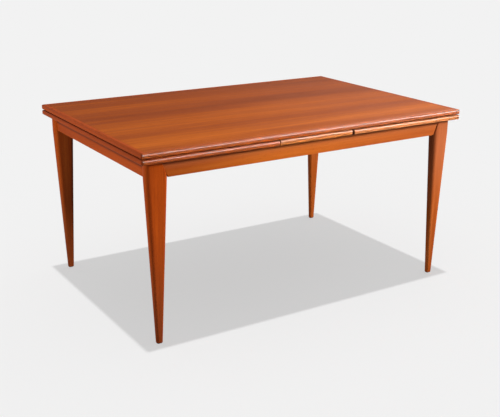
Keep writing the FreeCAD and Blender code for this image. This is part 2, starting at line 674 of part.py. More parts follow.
def make_nodes():
    """Every piece of the table by node name."""
    nodes = make_main_top()
    felt = make_felt_strip()
    nodes["right_felt_strip"] = felt
    nodes["left_felt_strip"] = mirrored(felt, True, False)

    for side, runner_y in (("right", RIGHT_RUNNER_Y), ("left", LEFT_RUNNER_Y)):
        for piece, shape in make_leaf(runner_y).items():
            nodes[f"{side}_leaf_{piece}"] = mirrored(shape, side == "left", False)

    panel, back_lipping = make_centre_board()
    nodes["centre_board_panel"] = panel
    nodes["centre_board_back_lipping"] = back_lipping
    nodes["centre_board_front_lipping"] = mirrored(back_lipping, False, True)

    leg = make_leg()
    block = make_corner_block()
    bolt, washer, nut = make_corner_bolt()
    block_screws = [turned(screw(BLOCK_SCREW_LENGTH), *line) for line in block_screw_lines()]
    fasteners = {"corner_bolts": [], "corner_washers": [], "corner_nuts": [], "corner_block_screws": []}
    for flip_x, x_name in ((True, "left"), (False, "right")):
        for flip_y, y_name in ((True, "front"), (False, "back")):
            nodes[f"leg_{y_name}_{x_name}"] = mirrored(leg, flip_x, flip_y)
            nodes[f"corner_block_{y_name}_{x_name}"] = mirrored(block, flip_x, flip_y)
            fasteners["corner_bolts"].append(mirrored(bolt, flip_x, flip_y))
            fasteners["corner_washers"].append(mirrored(washer, flip_x, flip_y))
            fasteners["corner_nuts"].append(mirrored(nut, flip_x, flip_y))
            fasteners["corner_block_screws"] += [mirrored(item, flip_x, flip_y) for item in block_screws]
    for name, shapes in fasteners.items():
        nodes[name] = Part.makeCompound(shapes)

    long_apron = make_long_apron()
    nodes["back_apron"] = long_apron
    nodes["front_apron"] = mirrored(long_apron, False, True)
    nodes["right_end_apron"] = make_end_apron(RIGHT_RUNNER_Y)
    nodes["left_end_apron"] = mirrored(make_end_apron(LEFT_RUNNER_Y), True, False)
    nodes["right_rail"] = make_rail(RIGHT_RUNNER_Y, LEFT_RUNNER_Y)
    nodes["left_rail"] = mirrored(make_rail(LEFT_RUNNER_Y, RIGHT_RUNNER_Y), True, False)
    board_screws = []
    for place in board_screw_places():
        for flip in (False, True):
            board_screws.append(mirrored(turned(screw(BOARD_SCREW_LENGTH), place, Z_AXIS), flip, False))
    nodes["centre_board_screws"] = Part.makeCompound(board_screws)
    return nodes


def main():
    os.makedirs("parts", exist_ok=True)
    for name, shape in make_nodes().items():
        shape.exportStep(f"parts/{name}.step")
        print(name, len(shape.Solids), round(shape.Volume / 1000, 1), "cm3", shape.isValid())


main()
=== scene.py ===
"""Draw leaf dining table: its wood finishes, fastenings and a plain studio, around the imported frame.

Metres, +Z up, X along the table and the front at -Y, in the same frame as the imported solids.
"""

import math
from collections import namedtuple

import bmesh
import bpy
import numpy as np
from mathutils import Matrix, Vector, noise


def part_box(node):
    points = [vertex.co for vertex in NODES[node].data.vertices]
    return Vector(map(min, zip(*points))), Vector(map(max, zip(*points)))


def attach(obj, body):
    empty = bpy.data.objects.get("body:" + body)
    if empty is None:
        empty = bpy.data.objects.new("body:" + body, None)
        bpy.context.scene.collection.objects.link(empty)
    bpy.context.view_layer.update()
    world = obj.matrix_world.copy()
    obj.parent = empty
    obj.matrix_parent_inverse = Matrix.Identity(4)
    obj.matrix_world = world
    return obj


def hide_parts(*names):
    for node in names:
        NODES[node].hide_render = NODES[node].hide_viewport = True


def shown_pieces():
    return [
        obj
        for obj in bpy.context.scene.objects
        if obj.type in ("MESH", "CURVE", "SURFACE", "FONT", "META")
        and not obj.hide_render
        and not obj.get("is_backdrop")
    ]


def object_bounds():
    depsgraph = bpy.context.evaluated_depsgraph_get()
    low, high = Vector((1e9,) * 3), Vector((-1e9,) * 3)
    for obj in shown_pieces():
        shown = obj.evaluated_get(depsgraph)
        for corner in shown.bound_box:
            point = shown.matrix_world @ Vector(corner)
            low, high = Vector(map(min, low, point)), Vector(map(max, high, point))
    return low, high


bl_info = {
    "name": "Draw leaf table",
    "version": (1, 0, 0),
    "blender": (4, 5, 0),
    "location": "View3D > Sidebar > Leaf table",
    "description": "Wood finishes, fastenings and studio of a draw leaf dining table",
    "category": "Object",
}

MM = 0.001

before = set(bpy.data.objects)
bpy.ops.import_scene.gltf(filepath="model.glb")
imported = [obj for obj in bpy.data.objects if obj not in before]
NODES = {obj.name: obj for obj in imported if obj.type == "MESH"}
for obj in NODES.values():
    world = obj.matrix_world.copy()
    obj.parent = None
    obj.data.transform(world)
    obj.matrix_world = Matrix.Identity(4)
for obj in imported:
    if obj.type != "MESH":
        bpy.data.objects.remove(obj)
CAD_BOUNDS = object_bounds()

# Places of the finish are worked out from these
HALF_LENGTH, HALF_WIDTH, TABLE_TOP = CAD_BOUNDS[1]
TOP_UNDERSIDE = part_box("main_top_panel")[0].z
LEAF_END, _, LEAF_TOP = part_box("right_leaf_outer_lipping")[1]
BOARD_END, _, BOARD_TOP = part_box("centre_board_panel")[1]
APRON_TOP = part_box("front_apron")[1].z
RIGHT_LEG_INNER_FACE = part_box("leg_front_right")[0].x

# A slab whose upper arrises are toned, paler by rubbing and darker by painted shade: how far it reaches, its
# upper face and the width that is toned
Slab = namedtuple("Slab", "half_length half_width top arris")
TOP_SLAB = Slab(HALF_LENGTH, HALF_WIDTH, TABLE_TOP, 7 * MM)
LEAF_SLAB = Slab(LEAF_END, HALF_WIDTH, LEAF_TOP, 6 * MM)


def srgb(red, green, blue):
    """A colour as written on a 0 to 255 chart, in the linear values that shaders use."""
    shares = [level / 255 for level in (red, green, blue)]
    return tuple(s / 12.92 if s <= 0.04045 else ((s + 0.055) / 1.055) ** 2.4 for s in shares)


def colour_setting(name, description, chart):
    """A colour that a user may change."""
    return bpy.props.FloatVectorProperty(
        name=name, description=description, subtype="COLOR", size=3, min=0, max=1, default=srgb(*chart)
    )


def length_setting(name, description, millimetres):
    """A length that a user may change."""
    return bpy.props.FloatProperty(
        name=name, description=description, unit="LENGTH", min=0, default=millimetres * MM
    )


def angle_setting(name, description, radians):
    """An angle that a user may change."""
    return bpy.props.FloatProperty(name=name, description=description, subtype="ANGLE", default=radians)


def number_setting(name, description, number):
    """A plain number that a user may change."""
    return bpy.props.FloatProperty(name=name, description=description, default=number)


# ---------------------------------------------------------------- shader maths


class Value:
    """A number that changes over a surface; Python's signs on it add Math nodes."""

    def __init__(self, shader, socket):
        self.shader = shader
        self.socket = socket

    def __add__(self, other):
        return self.shader.maths("ADD", self, other)

    def __radd__(self, other):
        return self.shader.maths("ADD", other, self)

    def __sub__(self, other):
        return self.shader.maths("SUBTRACT", self, other)

    def __rsub__(self, other):
        return self.shader.maths("SUBTRACT", other, self)

    def __mul__(self, other):
        return self.shader.maths("MULTIPLY", self, other)

    def __truediv__(self, other):
        return self.shader.maths("DIVIDE", self, other)

    def __abs__(self):
        return self.shader.maths("ABSOLUTE", self)


class Shader:
    """The nodes of one material or world."""

    def __init__(self, owner):
        owner.use_nodes = True
        self.tree = owner.node_tree
        self.tree.nodes.clear()

    def node(self, kind, settings=None, sockets=None, output=0):
        """Adds a node with its settings, then its sockets' values or links, and gives one output."""
        made = self.tree.nodes.new(kind)
        for name, value in (settings or {}).items():
            if name == "stops":
                ramp = made.color_ramp
                while len(ramp.elements) < len(value):
                    ramp.elements.new(1.0)
                for stop, (place, colour) in zip(ramp.elements, value):
                    stop.position = place
                    stop.color = (*colour, 1.0)
            else:
                setattr(made, name, value)
        for name, value in (sockets or {}).items():
            socket = made.inputs[name]
            if isinstance(value, Value):
                self.tree.links.new(value.socket, socket)
            elif socket.type == "RGBA":
                socket.default_value = (*value, 1.0)
            else:
                socket.default_value = value
        return Value(self, made.outputs[output]) if made.outputs else None

    def maths(self, operation, *values):
        return self.node("ShaderNodeMath", {"operation": operation}, dict(enumerate(values)))

    def smooth(self, value, low, high):
        """0 below low, 1 above high, and a smooth step between."""
        return self.node(
            "ShaderNodeMapRange",
            {"interpolation_type": "SMOOTHSTEP"},
            {"Value": value, "From Min": low, "From Max": high},
        )

    def place(self):
        """Where a point is on the object, in its own coordinates."""
        return self.node("ShaderNodeTexCoord", output="Object")

    def mapped(self, vector, turn=(0, 0, 0), move=(0, 0, 0), stretch=(1, 1, 1)):
        sockets = {"Vector": vector, "Rotation": turn, "Location": move, "Scale": stretch}
        return self.node("ShaderNodeMapping", None, sockets)

    def parts(self, vector):
        """The three numbers of a vector."""
        split = self.node("ShaderNodeSeparateXYZ", None, {0: vector})
        return [Value(self, output) for output in split.socket.node.outputs]

    def noise(self, vector, stretch, detail=2.0, roughness=0.5):
        """Cloudy values about 0.5, as many per metre along each axis as stretch says."""
        return self.node(
            "ShaderNodeTexNoise",
            None,
            {
                "Vector": self.mapped(vector, stretch=stretch),
                "Scale": 1.0,
                "Detail": detail,
                "Roughness": roughness,
            },
        )

    def mix(self, share, first, second):
        """A colour from first to second."""
        return self.node("ShaderNodeMix", {"data_type": "RGBA"}, {0: share, 6: first, 7: second}, output=2)

    def ramp(self, value, stops):
        return self.node("ShaderNodeValToRGB", {"stops": stops}, {0: value})

    def bump(self, height, distance, strength):
        return self.node(
            "ShaderNodeBump", None, {"Height": height, "Distance": distance, "Strength": strength}
        )

    def surface(self, fixed, varying):
        """Ends a material in one Principled shader: fixed numbers on its own sockets, and what varies."""
        made = self.node("ShaderNodeBsdfPrincipled", None, {**fixed, **varying})
        self.node("ShaderNodeOutputMaterial", None, {"Surface": made})


def new_material(name):
    return bpy.data.materials.new(name)


# ---------------------------------------------------------------- wood

# Turns that bring the fibres' axis to X
GRAIN_TURNS = {
    "X": (0, 0, 0),
    "Y": (0, 0, -math.pi / 2),
    "Z": (0, math.pi / 2, 0),
}

# How many changes a metre holds along the fibres, and across them in both directions
FIGURE_FREQUENCY = (0.45, 9, 9)
STREAK_FREQUENCY = (1.3, 55, 55)
LINE_FREQUENCY = (6, 340, 340)
PORE_FREQUENCY = (75, 1500, 1500)
BEND_FREQUENCY = (1.1, 3.5, 3.5)
DULL_FREQUENCY = (5, 5, 5)

FIBRE_BEND = 20 * MM
FIBRE_RELIEF = 0.25 * MM
RELIEF_STRENGTH = 0.35
COAT_ROUGHNESS = 0.13
LACQUER_IOR = 1.5


def shade(colour, factor):
    """A colour made darker or lighter."""
    return tuple(min(1.0, c * factor) for c in colour)


def tones(kind):
    """The dark, middle and light tone of one wood from the settings."""
    colours = bpy.context.scene.leaf_table_wood
    return [tuple(getattr(colours, f"{kind}_{tone}")) for tone in ("dark", "middle", "light")]


def wood(
    name, kind, grain, seed, bands=None, figure=1.0, streaks=1.0, rough=0.38, shine=0.12, wear_and_shade_slab=None, arris_wear_shade=0.25,
    coat=0.6, tints=(),
):
    """A lacquered wood. kind names its tones in the settings; grain is the axis of its fibres.

    bands are the tones of a veneer's strips across the piece, as (place, tone) with tone 0 to 1.
    tints are (axis, start, end, share, colour): a colour that comes in between two places on an axis,
    where END and SIDE are the distances from the table's middle along X and Y.
    A slab given here has its upper arrises toned by the share after it: above 0 paler, as by rubbing, and
    below 0 darker, partly grime and partly painted shade that holds down the brightly lit rounded arris. Only
    such a slab's pieces have the clear coat.
    """
    material = new_material(name)
    s = Shader(material)
    here = s.place()
    board = s.mapped(here, GRAIN_TURNS[grain], (3.17 * seed, 1.31 * seed, 0.73 * seed))
    along, across, depth = s.parts(board)
    wander = (s.noise(board, BEND_FREQUENCY, 2.0) - 0.5) * FIBRE_BEND
    fibre = s.node("ShaderNodeCombineXYZ", None, {0: along, 1: across + wander, 2: depth + wander})
    slow = s.noise(fibre, FIGURE_FREQUENCY, 3.0)
    streak = s.noise(fibre, STREAK_FREQUENCY, 4.0, 0.6)
    line = s.noise(fibre, LINE_FREQUENCY, 3.0, 0.55)
    pore = s.smooth(s.noise(fibre, PORE_FREQUENCY, 1.0), 0.60, 0.74)
    fine = min(streaks, 1.0)
    tone = 0.5 + (slow - 0.5) * (0.9 * figure) + (streak - 0.5) * (0.75 * streaks)
    tone = tone + (line - 0.5) * (0.35 * fine)
    if bands:
        level = s.parts(here)[1] + wander * 1.2
        low, high = bands[0][0], bands[-1][0]
        stops = [((place - low) / (high - low), (strip, strip, strip)) for place, strip in bands]
        tone = tone + (s.ramp((level - low) / (high - low), stops) - 0.5)
    dark, middle, light = tones(kind)
    colour = s.ramp(
        tone,
        [(0.12, shade(dark, 0.8)), (0.32, dark), (0.55, middle), (0.78, light), (0.98, shade(light, 1.18))],
    )
    colour = s.mix(pore * 0.5, colour, shade(dark, 0.45))
    facing = s.parts(s.node("ShaderNodeTexCoord", output="Normal"))["XYZ".index(grain)]
    colour = s.mix(s.smooth(abs(facing), 0.6, 0.9) * 0.5, colour, shade(dark, 0.7))
    cloud = s.noise(here, DULL_FREQUENCY, 3.0)
    dullness = rough + (streak - 0.5) * 0.10 + pore * 0.15 + (cloud - 0.5) * 0.12
    x, y, z = s.parts(here)
    axes = {"X": x, "Y": y, "Z": z, "END": abs(x), "SIDE": abs(y)}
    for axis, start, end, share, tint in tints:
        place = axes[axis] + wander * (15 * abs(end - start))
        colour = s.mix(s.smooth(place, start, end) * share, colour, tint)
    # Painted shade on the rounded upper arris where the share is below 0, partly grime; a paler tone as from
    # rubbing where it is above 0
    if wear_and_shade_slab:
        inwards = s.maths("MINIMUM", wear_and_shade_slab.half_length - abs(x), wear_and_shade_slab.half_width - abs(y))
        near_edge = 1 - s.smooth(inwards, wear_and_shade_slab.arris * 0.4, wear_and_shade_slab.arris)
        near_top = s.smooth(z, wear_and_shade_slab.top - 11 * MM, wear_and_shade_slab.top - 5 * MM)
        arris_wear_shade_mask = near_edge * near_top * s.smooth(slow, -0.2, 0.5)
        arris_wear_shade_tone = shade(light, 1.5) if arris_wear_shade > 0 else shade(dark, 0.5)
        colour = s.mix(arris_wear_shade_mask * abs(arris_wear_shade), colour, arris_wear_shade_tone)
        dullness = dullness + arris_wear_shade_mask * 0.06
    height = line * 0.4 + streak * 0.2 - pore * 0.6
    lacquer = {"Coat Weight": coat, "Coat Roughness": COAT_ROUGHNESS} if wear_and_shade_slab and coat else {}
    s.surface(
        {"Specular IOR Level": shine, "IOR": LACQUER_IOR, **lacquer},
        {
            "Base Color": colour,
            "Roughness": dullness,
            "Normal": s.bump(height, FIBRE_RELIEF, RELIEF_STRENGTH * fine),
        },
    )
    return material


# ---------------------------------------------------------------- settings


class LeafTableWood(bpy.types.PropertyGroup):
    """Colours of the wood, and of its painted shade and painted light."""

    veneer_dark: colour_setting("Veneer, dark", "Darkest strips of the top's veneer", (146, 68, 30))
    veneer_middle: colour_setting("Veneer, middle", "Most of the top's veneer", (166, 80, 28))
    veneer_light: colour_setting("Veneer, light", "Lightest strips of the top's veneer", (188, 96, 30))
    lipping_dark: colour_setting("Lipping, dark", "Dark lines of the reddish lippings", (138, 56, 20))
    lipping_middle: colour_setting("Lipping, middle", "Most of the reddish lippings", (176, 74, 26))
    lipping_light: colour_setting("Lipping, light", "Light lines of the reddish lippings", (198, 92, 36))
    edge_dark: colour_setting("Front edge, dark", "Dark lines of the top's front lipping", (164, 74, 30))
    edge_middle: colour_setting("Front edge, middle", "Most of the top's front lipping", (192, 92, 41))
    edge_light: colour_setting("Front edge, light", "Light lines of the top's front lipping", (214, 116, 66))
    peach_dark: colour_setting("Pale edge, dark", "Dark lines of the pale lippings", (186, 98, 45))
    peach_middle: colour_setting("Pale edge, middle", "Most of the pale lippings", (210, 121, 62))
    peach_light: colour_setting("Pale edge, light", "Light lines of the pale lippings", (230, 146, 88))
    honey_dark: colour_setting("Honey teak, dark", "Dark lines of the long aprons", (178, 80, 22))
    honey_middle: colour_setting("Honey teak, middle", "Most of the long aprons", (208, 106, 34))
    honey_light: colour_setting("Honey teak, light", "Light lines of the long aprons", (228, 132, 56))
    leg_dark: colour_setting("Leg, dark", "Dark lines of the legs and end aprons", (156, 60, 12))
    leg_middle: colour_setting("Leg, middle", "Most of the legs and end aprons", (186, 78, 16))
    leg_light: colour_setting("Leg, light", "Light lines of the legs and end aprons", (208, 100, 30))
    pale_leg_dark: colour_setting("Pale leg, dark", "Dark lines of the right legs", (166, 72, 22))
    pale_leg_middle: colour_setting("Pale leg, middle", "Most of the right legs", (189, 91, 30))
    pale_leg_light: colour_setting("Pale leg, light", "Light lines of the right legs", (214, 118, 58))
    beech_dark: colour_setting("Beech, dark", "Dark lines of the hidden beech", (160, 118, 74))
    beech_middle: colour_setting("Beech, middle", "Most of the hidden beech", (192, 150, 102))
    beech_light: colour_setting("Beech, light", "Light lines of the hidden beech", (214, 176, 128))
    # Painted shade: a dull brown laid under overhanging edges, in gaps, recesses and corners, and low on the
    # legs
    painted_shade_brown: colour_setting("Painted shade brown", "Brown of painted shade under overhanging edges, in gaps, recesses and low on the legs", (112, 54, 34))
    # Painted light: a paler pink laid where the light falls stronger, on the right of the top, its front
    # edges and the long aprons, and high on the right legs
    painted_light_pink: colour_setting("Painted light pink", "Paler pink painted where the light falls stronger", (196, 118, 82))


class LeafTableFastenings(bpy.types.PropertyGroup):
    """Sizes and colours of the fastenings and the felt."""

    recess_width: length_setting("Recess width", "Width of the arms of the cross in a screw head", 1.1)
    recess_depth: length_setting("Recess depth", "Depth of the cross in a screw head", 1.3)
    thread_pitch: length_setting("Thread pitch", "Distance between two threads", 1.6)
    thread_depth: length_setting("Thread depth", "How deep a thread is cut", 0.35)
    felt_fuzz: length_setting("Felt fuzz", "How uneven the felt's edges are", 0.25)
    steel: colour_setting("Steel", "Zinc plated steel", (150, 150, 146))
    felt: colour_setting("Felt", "Brown felt strips", (74, 58, 44))


class LeafTableStudio(bpy.types.PropertyGroup):
    """Camera, lamps and floor."""

    camera_place: bpy.props.FloatVectorProperty(
        name="Camera place", description="Where the camera stands", subtype="XYZ", unit="LENGTH",
        size=3, default=(-1.92778, -3.04423, 1.46127),
    )
    camera_yaw: angle_setting("Camera yaw", "Turn from +Y towards +X", 0.56559)
    camera_pitch: angle_setting("Camera pitch", "Tilt above the horizon", -0.31604)
    camera_roll: angle_setting("Camera roll", "Lean of the camera", 0.00811)
    camera_lens: number_setting("Lens", "Focal length for a 36 mm wide sensor, in millimetres", 62.945)
    floor_radius: length_setting("Floor radius", "Radius of the round floor", 30000)
    background: colour_setting("Background", "Colour of the floor and backdrop", (242, 242, 242))
    shadow_level: number_setting("Shadow level", "Light from straight above that the floor receives", 0.645)
    key_level: number_setting("Key level", "Light from the front right", 0.133)
    top_level: number_setting("Top level", "Light from high above the front right", 0.45)
    fill_level: number_setting("Fill level", "Light from the left", 0.8)
    back_level: number_setting("Back level", "Light from high behind the right", 0.22)
    glint_level: number_setting("Glint level", "Light that only the glossy front edges show", 3.0)
    sky_level: number_setting("Sky level", "Light from all round near the horizon", 0.12)
    glow_level: number_setting("Glow level", "Two broad soft glows near the horizon", 0.7)


# ---------------------------------------------------------------- making pieces


SMOOTH_ANGLE = math.radians(35)
MERGE_DISTANCE = 0.001 * MM


def finished(name, mesh_maker, material, body, replaced):
    """Turns a bmesh into a piece that rides on a body and takes the place of a CAD node."""
    bmesh.ops.remove_doubles(mesh_maker, verts=mesh_maker.verts[:], dist=MERGE_DISTANCE)
    bmesh.ops.recalc_face_normals(mesh_maker, faces=mesh_maker.faces[:])
    mesh = bpy.data.meshes.new(name)
    mesh_maker.to_mesh(mesh)
    mesh_maker.free()
    for polygon in mesh.polygons:
        polygon.use_smooth = True
    mesh.set_sharp_from_angle(angle=SMOOTH_ANGLE)
    mesh.materials.append(material)
    piece = bpy.data.objects.new(name, mesh)
    bpy.context.scene.collection.objects.link(piece)
    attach(piece, body)
    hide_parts(replaced)


def lathe(maker, rings, segments=24, closed=False, outline=None):
    """Bridges circles of (radius, height), from the first to the last, or right round when closed.

    outline turns a circle into another shape: it takes the number of a point and the ring's number, and
    gives the factor on the radius. An open chain gets its two ends filled.
    """
    loops = []
    for number, (radius, height) in enumerate(rings):
        points = bmesh.ops.create_circle(maker, segments=segments, radius=radius)["verts"]
        for index, point in enumerate(points):
            factor = outline(index, number) if outline else 1.0
            point.co = Vector((point.co.x * factor, point.co.y * factor, height))
        loops.append(list({edge for point in points for edge in point.link_edges}))
    pairs = list(zip(loops, loops[1:]))
    if closed:
        pairs.append((loops[-1], loops[0]))
    else:
        bmesh.ops.holes_fill(maker, edges=loops[0] + loops[-1], sides=segments)
    for first, second in pairs:
        bmesh.ops.bridge_loops(maker, edges=first + second)
    return loops


def thread(start, end, radius, pitch, depth):
    """Rings of a threaded rod between two heights."""
    count = max(1, round(abs(end - start) / pitch))
    step = (end - start) / count
    rings = []
    for turn in range(count):
        rings.append((radius - depth, start + step * (turn + 0.1)))
        rings.append((radius, start + step * (turn + 0.6)))
    return rings


def rods(node):
    """The solids of a node that are round about a line: where each starts, its turn and its size.

    Each is (matrix, length, radius). The matrix puts the widest end at the origin and +Z along the rod.
    """
    maker = bmesh.new()
    maker.from_mesh(NODES[node].data)
    bmesh.ops.remove_doubles(maker, verts=maker.verts[:], dist=0.01 * MM)
    waiting = set(maker.verts)
    found = []
    while waiting:
        solid = set()
        reached = [min(waiting, key=lambda point: point.index)]
        while reached:
            point = reached.pop()
            if point in solid:
                continue
            solid.add(point)
            reached.extend(edge.other_vert(point) for edge in point.link_edges)
        waiting -= solid
        found.append(np.array([point.co[:] for point in sorted(solid, key=lambda point: point.index)]))
    maker.free()
    placed = []
    for points in found:
        middle = (points.min(axis=0) + points.max(axis=0)) / 2
        away = points - middle
        axes = np.linalg.svd(away - away.mean(axis=0), full_matrices=False)[2]
        spread = np.array([np.ptp(away @ axis) for axis in axes])
        line = axes[int(np.argmax(np.abs(spread - np.median(spread))))]
        along = away @ line
        radii = np.linalg.norm(away - np.outer(along, line), axis=1)
        low_end = radii[along < along.min() + 0.1 * MM].max()
        high_end = radii[along > along.max() - 0.1 * MM].max()
        if high_end > low_end + 0.1 * MM:
            line, along = -line, -along
        foot = Vector(middle) + Vector(line) * float(along.min())
        turn = Vector(line).to_track_quat("Z", "Y").to_matrix().to_4x4()
        placed.append((Matrix.Translation(foot) @ turn, float(np.ptp(along)), float(radii.max())))
    return placed


def dress(name, material):
    """Gives a CAD node a material."""
    mesh = NODES[name].data
    if not mesh.materials:
        mesh.materials.append(material)
    for index in range(len(mesh.materials)):
        mesh.materials[index] = material


# ---------------------------------------------------------------- slabs

# Strips of the top's veneer from front to back: the place across the table, and the tone
TOP_BANDS = [
    (-0.483, 0.60),
    (-0.41, 0.66),
    (-0.37, 0.86),
    (-0.335, 0.62),
    (-0.235, 0.40),
    (-0.13, 0.64),
    (-0.06, 0.60),
    (0.0, 0.46),
    (0.09, 0.30),
    (0.20, 0.42),
    (0.29, 0.48),
    (0.36, 0.32),
    (0.483, 0.28),
]

# Distance from a slab's corner within which painted shade darkens it, and where that shade is full
CORNER_SHADE = 8 * MM
CORNER_SHADE_FULL = 2 * MM

# How the front lippings shine, and all others: coat weight and specular level
FRONT_COAT, FRONT_SHINE = 0.6, 0.01
OTHER_COAT, OTHER_SHINE = 0.0, 0.06


def edge_tints(colours, side, shadow, pale=None):
    """Painted shade on a lipping in the gap between two slabs and round its corners, and on a front a painted
    light gradient.

    shadow is the two heights between which the gap's painted shade comes in, and pale a tint that comes
    before the gradient.
    """
    painted_shade = shade(tuple(colours.painted_shade_brown), 0.35)
    crosswise = side in ("left", "right", "outer", "inner")
    across, corner = ("SIDE", HALF_WIDTH) if crosswise else ("END", HALF_LENGTH)
    tints = [
        # Painted shade: the gap between two slabs, and the rounded corners, darkened
        ("Z", *shadow, 0.6, painted_shade),
        (across, corner - CORNER_SHADE, corner - CORNER_SHADE_FULL, 0.45, painted_shade),
    ]
    if side == "front":
        if pale:
            tints.append(pale)
        # Painted shade and painted light: the front darker towards the left end and paler pink towards the
        # right, following the light from the right
        tints.append(("X", -0.1, -0.68, 0.3, tuple(colours.lipping_dark)))
        tints.append(("X", -0.1, 0.2, 0.38, shade(tuple(colours.painted_light_pink), 1.1)))
    return tints


class LEAFTABLE_OT_main_top(bpy.types.Operator):
    """Finish the loose main top: veneered panel and solid lippings"""

    bl_idname = "leaf_table.main_top"
    bl_label = "Main top"

    def execute(self, context):
        colours = context.scene.leaf_table_wood
        # Painted sheen: the top paler pink towards its right end
        painted_sheen = ("X", -0.5, 0.55, 0.1, tuple(colours.painted_light_pink))
        panel = wood(
            "top_veneer", "veneer", "X", 1, TOP_BANDS, figure=0.5, streaks=1.3, shine=0.04, tints=(painted_sheen,)
        )
        dress("main_top_panel", panel)
        # Painted shadow in the gap under the top's edges, and on the front painted light that lifts the lower
        # rounded edge, which faces down
        shadow = (TOP_UNDERSIDE + 3.5 * MM, TOP_UNDERSIDE + 0.5 * MM)
        pale = (
            "Z", TOP_UNDERSIDE + 10 * MM, TOP_UNDERSIDE + 5 * MM, 0.6, shade(tuple(colours.leg_light), 1.3)
        )
        for seed, side in enumerate(("front", "back", "left", "right"), 2):
            grain = "Y" if side in ("left", "right") else "X"
            kind, arris_wear_shade, coat, shine = "lipping", -0.3, OTHER_COAT, OTHER_SHINE
            if side == "front":
                kind, arris_wear_shade, coat, shine = "edge", -0.4, FRONT_COAT, FRONT_SHINE
            name = f"main_top_{side}_lipping"
            material = wood(
                f"{name}_teak", kind, grain, seed, figure=0.5, streaks=0.4, wear_and_shade_slab=TOP_SLAB, arris_wear_shade=arris_wear_shade, coat=coat,
                shine=shine, tints=edge_tints(colours, side, shadow, pale),
            )
            dress(name, material)
        return {"FINISHED"}


def leaf_tints(colours, side, edge):
    """Painted shade, painted light and darker tones of one lipping of a leaf."""
    dark = tuple(colours.lipping_dark)
    tints = edge_tints(colours, edge, (LEAF_TOP - 2.8 * MM, LEAF_TOP - 0.8 * MM))
    if side == "right":
        tints = tints[:2]
    # Painted light: the lower half of a front edge, which faces down, made paler
    low_half = (LEAF_TOP - 9 * MM, LEAF_TOP - 16 * MM)
    if edge == "front" and side == "right":
        tints.append(("Z", *low_half, 0.6, shade(tuple(colours.peach_light), 1.25)))
    elif edge == "front":
        tints.append(("Z", *low_half, 0.3, shade(tuple(colours.leg_light), 1.3)))
        # Painted shade: the left leaf's front darker towards the left end
        tints.append(("X", -0.1, -0.68, 0.2, dark))
    elif edge == "outer":
        tints.append(("Z", LEAF_TOP + 13 * MM, LEAF_TOP - 27 * MM, 0.35, dark))
    elif edge == "inner":
        # Painted shade: the inner lipping darkened near its front and back ends, in the notch by the centre
        # board
        tints.append(("SIDE", 0.35, 0.42, 0.8, shade(tuple(colours.painted_shade_brown), 0.25)))
    return tints


class LEAFTABLE_OT_leaves(bpy.types.Operator):
    """Finish the two draw leaves and the centre board"""

    bl_idname = "leaf_table.leaves"
    bl_label = "Leaves and centre board"

    def execute(self, context):
        colours = context.scene.leaf_table_wood
        for seed, side in ((11, "left"), (21, "right")):
            dress(f"{side}_leaf_panel", wood(f"{side}_leaf_veneer", "veneer", "X", seed, streaks=0.7))
            for step, edge in enumerate(("front", "back", "outer", "inner"), 1):
                grain = "Y" if edge in ("outer", "inner") else "X"
                kind = "peach" if side == "right" else "edge" if edge == "front" else "lipping"
                arris_wear_shade, coat, shine = -0.3, OTHER_COAT, OTHER_SHINE
                if edge == "front":
                    arris_wear_shade, coat, shine = -0.2, FRONT_COAT, FRONT_SHINE
                name = f"{side}_leaf_{edge}_lipping"
                material = wood(
                    f"{name}_teak", kind, grain, seed + step, figure=0.4, streaks=0.3, wear_and_shade_slab=LEAF_SLAB,
                    arris_wear_shade=arris_wear_shade, coat=coat, shine=shine, tints=leaf_tints(colours, side, edge),
                )
                dress(name, material)
        self.finish_board(colours)
        return {"FINISHED"}

    def finish_board(self, colours):
        dress("centre_board_panel", wood("board_veneer", "veneer", "X", 31))
        painted_shade = shade(tuple(colours.painted_shade_brown), 0.25)
        tints = edge_tints(colours, "back", (BOARD_TOP - 3.2 * MM, BOARD_TOP - 1.2 * MM))
        # Painted light: the lower part of the board's lipping, which faces down, made paler
        tints.append(("Z", BOARD_TOP - 8.7 * MM, BOARD_TOP - 16.7 * MM, 0.6, tuple(colours.honey_light)))
        # Painted shade: the board's end darkened where it stands in the notch
        tints.append(("X", BOARD_END - 3 * MM, BOARD_END - 1 * MM, 0.9, painted_shade))
        for seed, edge in ((32, "front"), (33, "back")):
            name = f"centre_board_{edge}_lipping"
            material = wood(
                f"{name}_teak", "peach", "X", seed, figure=0.3, streaks=0.2, wear_and_shade_slab=LEAF_SLAB, arris_wear_shade=-0.2,
                shine=FRONT_SHINE, tints=tints,
            )
            dress(name, material)


# ---------------------------------------------------------------- frame


